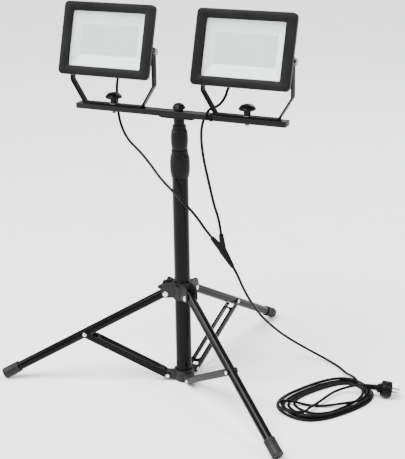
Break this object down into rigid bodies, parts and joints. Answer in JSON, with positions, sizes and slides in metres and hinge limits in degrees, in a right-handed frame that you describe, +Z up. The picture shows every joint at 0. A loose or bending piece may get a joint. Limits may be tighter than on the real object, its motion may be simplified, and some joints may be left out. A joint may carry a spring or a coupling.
{
  "type": "work light",
  "caption": "Twin LED flood work light: tilting square-edged lamps on a crossbar, telescopic mast, folding braced tripod, corded plug.",
  "frame": {"origin": "on the floor, under the middle of the mast, at the flat face of the mast's foot plug", "axes": "+Z up along the mast, +X along the crossbar to the right-hand lamp, lamps face -Y"},
  "size_m": [0.8587, 0.6704, 0.8356],
  "materials": {
    "black_paint": "gloss",
    "lamp_casting": "satin",
    "grey_plastic": "satin",
    "black_plastic": "satin",
    "pale_plastic": "matte",
    "bright_steel": "satin",
    "grey_steel": "satin",
    "cord_rubber": "satin",
    "foot_rubber": "matte",
    "plated_brass": "satin",
    "window_glass": "gloss",
    "white_reflector": "satin",
    "led_board": "matte"
  },
  "bodies": {
    "root": {"outer_tube": "black_paint", "lower_hub": "grey_plastic", "base_plug": "black_plastic", "lower_hub_rivets": "bright_steel", "lower_wedge": "pale_plastic", "main_cord": "cord_rubber", "cord_coil": "cord_rubber", "plug_body": "cord_rubber", "plug_pins": "plated_brass"},
    "lower_collar_body": {"lower_collar": "black_plastic"},
    "mid_mast": {"mid_tube": "black_paint", "mid_bush": "pale_plastic", "upper_wedge": "pale_plastic"},
    "upper_collar_body": {"upper_collar": "black_plastic"},
    "top_mast": {"inner_tube": "black_paint", "inner_bush": "pale_plastic", "top_plate": "black_paint", "crossbar": "black_paint", "bar_caps": "black_plastic", "bar_inserts": "bright_steel", "cable_tie": "black_plastic", "left_lamp_cord": "cord_rubber", "right_lamp_cord": "cord_rubber", "cord_splitter": "cord_rubber"},
    "centre_knob_body": {"centre_knob": "black_plastic"},
    "hub": {"leg_hub": "grey_plastic", "hub_rivets": "bright_steel"},
    "hub_knob": {"hub_lock_knob": "black_plastic"},
    "leg_left": {"left_leg": "black_paint", "left_foot": "foot_rubber", "left_leg_rivet": "bright_steel"},
    "brace_left": {"left_brace": "black_paint"},
    "leg_front": {"front_leg": "black_paint", "front_foot": "foot_rubber", "front_leg_rivet": "bright_steel"},
    "brace_front": {"front_brace": "black_paint"},
    "leg_back": {"back_leg": "black_paint", "back_foot": "foot_rubber", "back_leg_rivet": "bright_steel"},
    "brace_back": {"back_brace": "black_paint"},
    "yoke_left": {"left_yoke": "black_paint"},
    "yoke_knob_left": {"left_yoke_knob": "black_plastic"},
    "head_left": {"left_housing": "lamp_casting", "left_bezel": "lamp_casting", "left_glass": "window_glass", "left_reflector": "white_reflector", "left_led_board": "led_board", "left_driver_cover": "lamp_casting", "left_cable_gland": "black_plastic", "left_pivot_bolts": "grey_steel"},
    "yoke_right": {"right_yoke": "black_paint"},
    "yoke_knob_right": {"right_yoke_knob": "black_plastic"},
    "head_right": {"right_housing": "lamp_casting", "right_bezel": "lamp_casting", "right_glass": "window_glass", "right_reflector": "white_reflector", "right_led_board": "led_board", "right_driver_cover": "lamp_casting", "right_cable_gland": "black_plastic", "right_pivot_bolts": "grey_steel"}
  },
  "joints": [
    {"name": "lower_collar_turn", "type": "hinge", "parent": "root", "child": "lower_collar_body", "pos_m": [0, 0, 0.505], "axis": [0, 0, 1], "range_deg": [0, 90]},
    {"name": "mid_slide", "type": "slide", "parent": "root", "child": "mid_mast", "axis": [0, 0, 1], "range_m": [0, 0.4]},
    {"name": "upper_collar_turn", "type": "hinge", "parent": "mid_mast", "child": "upper_collar_body", "pos_m": [0, 0, 0.563], "axis": [0, 0, 1], "range_deg": [0, 90]},
    {"name": "top_slide", "type": "slide", "parent": "mid_mast", "child": "top_mast", "axis": [0, 0, 1], "range_m": [0, 0.4]},
    {"name": "centre_knob_turn", "type": "hinge", "parent": "top_mast", "child": "centre_knob_body", "pos_m": [0, 0, 0.627], "axis": [0, 0, 1], "continuous": true},
    {"name": "leg_fold", "type": "hinge", "parent": "root", "child": "brace_left", "pos_m": [-0.03426, -0.01398, 0.01277], "axis": [-0.3778, 0.9259, 0], "range_deg": [0, 55]},
    {"name": "left_leg_pivot", "type": "hinge", "parent": "brace_left", "child": "leg_left", "pos_m": [-0.20384, -0.08319, 0.11238], "axis": [-0.3778, 0.9259, 0], "range_deg": [-110, 0]},
    {"name": "hub_ride", "type": "hinge", "parent": "leg_left", "child": "hub", "pos_m": [-0.03426, -0.01398, 0.212], "axis": [-0.3778, 0.9259, 0], "range_deg": [0, 55]},
    {"name": "front_leg_pivot", "type": "hinge", "parent": "hub", "child": "leg_front", "pos_m": [0.02924, -0.02268, 0.212], "axis": [0.6129, 0.7902, 0], "range_deg": [0, 55]},
    {"name": "front_brace_pivot", "type": "hinge", "parent": "root", "child": "brace_front", "pos_m": [0.02924, -0.02268, 0.01277], "axis": [-0.6129, -0.7902, 0], "range_deg": [0, 55]},
    {"name": "back_leg_pivot", "type": "hinge", "parent": "hub", "child": "leg_back", "pos_m": [0.00502, 0.03666, 0.212], "axis": [-0.9907, 0.1357, 0], "range_deg": [0, 55]},
    {"name": "back_brace_pivot", "type": "hinge", "parent": "root", "child": "brace_back", "pos_m": [0.00502, 0.03666, 0.01277], "axis": [0.9907, -0.1357, 0], "range_deg": [0, 55]},
    {"name": "hub_knob_turn", "type": "hinge", "parent": "hub", "child": "hub_knob", "pos_m": [0, 0, 0.218], "axis": [-0.9397, 0.342, 0], "continuous": true},
    {"name": "left_pan", "type": "hinge", "parent": "top_mast", "child": "yoke_left", "pos_m": [-0.154, 0, 0.619], "axis": [0, 0, 1], "range_deg": [-45, 15]},
    {"name": "left_yoke_knob_turn", "type": "hinge", "parent": "yoke_left", "child": "yoke_knob_left", "pos_m": [-0.154, 0, 0.637], "axis": [0, 0, 1], "continuous": true},
    {"name": "left_tilt", "type": "hinge", "parent": "yoke_left", "child": "head_left", "pos_m": [-0.154, 0, 0.739], "axis": [-1, 0, 0], "range_deg": [-26.3, 72.7]},
    {"name": "right_pan", "type": "hinge", "parent": "top_mast", "child": "yoke_right", "pos_m": [0.154, 0, 0.619], "axis": [0, 0, 1], "range_deg": [-15, 45]},
    {"name": "right_yoke_knob_turn", "type": "hinge", "parent": "yoke_right", "child": "yoke_knob_right", "pos_m": [0.154, 0, 0.637], "axis": [0, 0, 1], "continuous": true},
    {"name": "right_tilt", "type": "hinge", "parent": "yoke_right", "child": "head_right", "pos_m": [0.154, 0, 0.739], "axis": [-1, 0, 0], "range_deg": [-26.3, 72.7]}
  ],
  "couplings": [
    {"joint": "left_leg_pivot", "follows": "leg_fold", "ratio": -2},
    {"joint": "hub_ride", "follows": "leg_fold", "ratio": 1},
    {"joint": "front_leg_pivot", "follows": "leg_fold", "ratio": 1},
    {"joint": "back_leg_pivot", "follows": "leg_fold", "ratio": 1},
    {"joint": "front_brace_pivot", "follows": "leg_fold", "ratio": 1},
    {"joint": "back_brace_pivot", "follows": "leg_fold", "ratio": 1}
  ]
}
